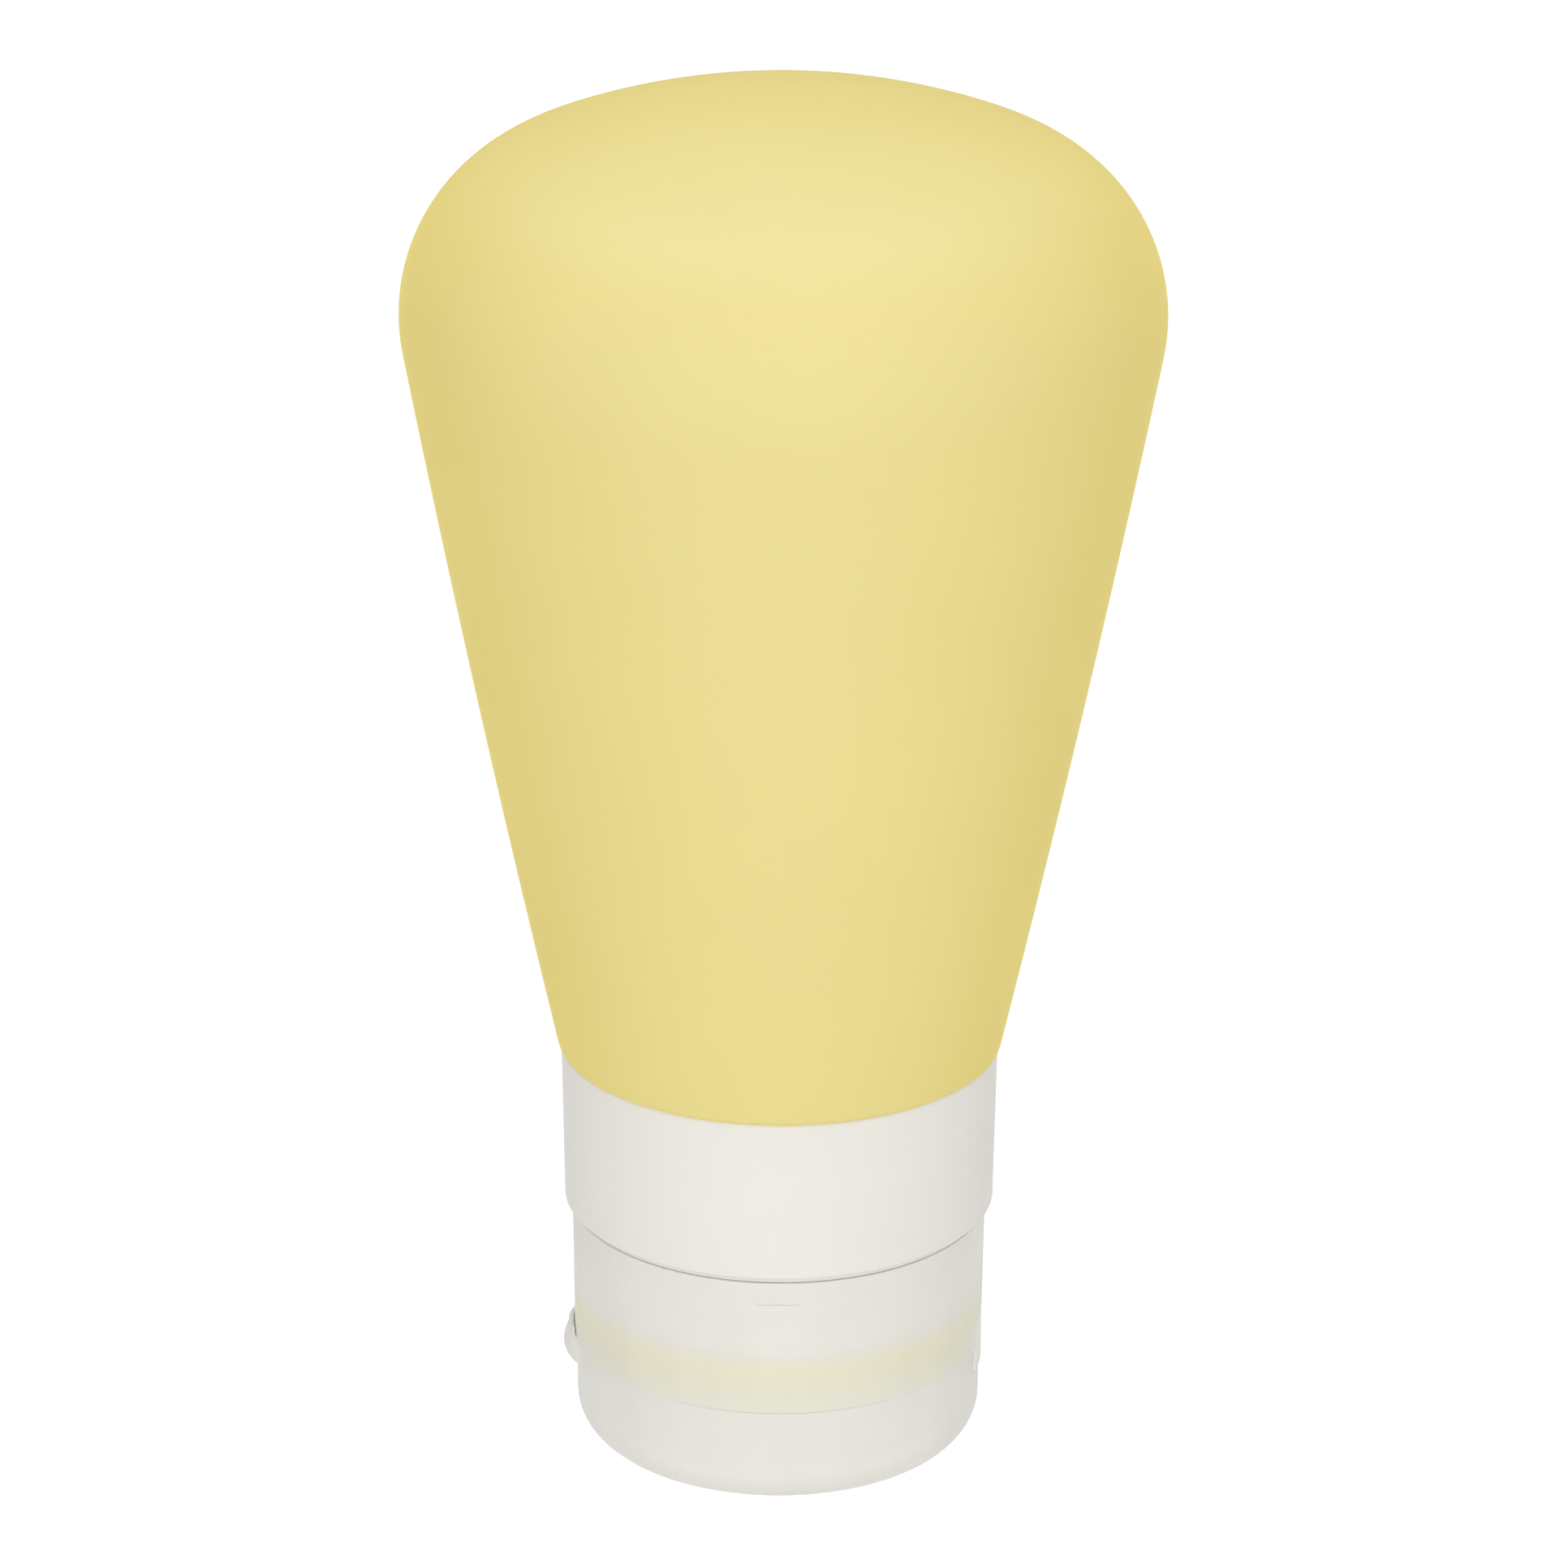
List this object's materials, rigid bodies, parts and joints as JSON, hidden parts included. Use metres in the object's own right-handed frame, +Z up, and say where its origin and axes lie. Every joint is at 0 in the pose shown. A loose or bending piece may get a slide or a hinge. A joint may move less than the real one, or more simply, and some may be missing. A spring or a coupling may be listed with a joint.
{
  "type": "travel silicone bottle",
  "caption": "Soft round silicone travel bottle, widest near its domed closed end, standing on a screw cap with a flip lid, nozzle and slit valve.",
  "frame": {"origin": "centre of the lid's flat end, on which the bottle stands", "axes": "+Z up along the bottle's axis towards the domed closed end, -X towards the lid's thumb tab, +X towards its hinge, -Y towards the cap's index mark"},
  "size_m": [0.054, 0.054, 0.1022],
  "materials": {
    "silicone": "soft matte yellow silicone",
    "seal_silicone": "satin yellow silicone",
    "collar_plastic": "satin opaque white polypropylene",
    "insert_plastic": "natural milky polypropylene",
    "cap_plastic": "frosted translucent polypropylene",
    "lid_plastic": "frosted translucent polypropylene"
  },
  "bodies": {
    "bottle": {"bottle_body": "silicone", "collar": "collar_plastic", "neck_insert": "insert_plastic"},
    "gasket": {"mouth_gasket": "seal_silicone"},
    "cap": {"cap_body": "cap_plastic", "flow_valve": "seal_silicone", "valve_retainer": "insert_plastic", "living_hinge": "lid_plastic"},
    "lid": {"flip_lid": "lid_plastic"}
  },
  "joints": [
    {"name": "cap_lift", "type": "slide", "parent": "bottle", "child": "gasket", "axis": [0, 0, -1], "range_m": [0, 0.009]},
    {"name": "cap_turn", "type": "hinge", "parent": "gasket", "child": "cap", "pos_m": [0, 0, 0.013], "axis": [0, 0, -1], "range_deg": [0, 1080]},
    {"name": "lid_hinge", "type": "hinge", "parent": "cap", "child": "lid", "pos_m": [0.015, 0, 0.0079], "axis": [0, -1, 0], "range_deg": [0, 135], "deforming": ["living_hinge"]}
  ],
  "couplings": [
    {"joint": "cap_lift", "follows": "cap_turn", "m_per_rad": 0.00047746}
  ]
}
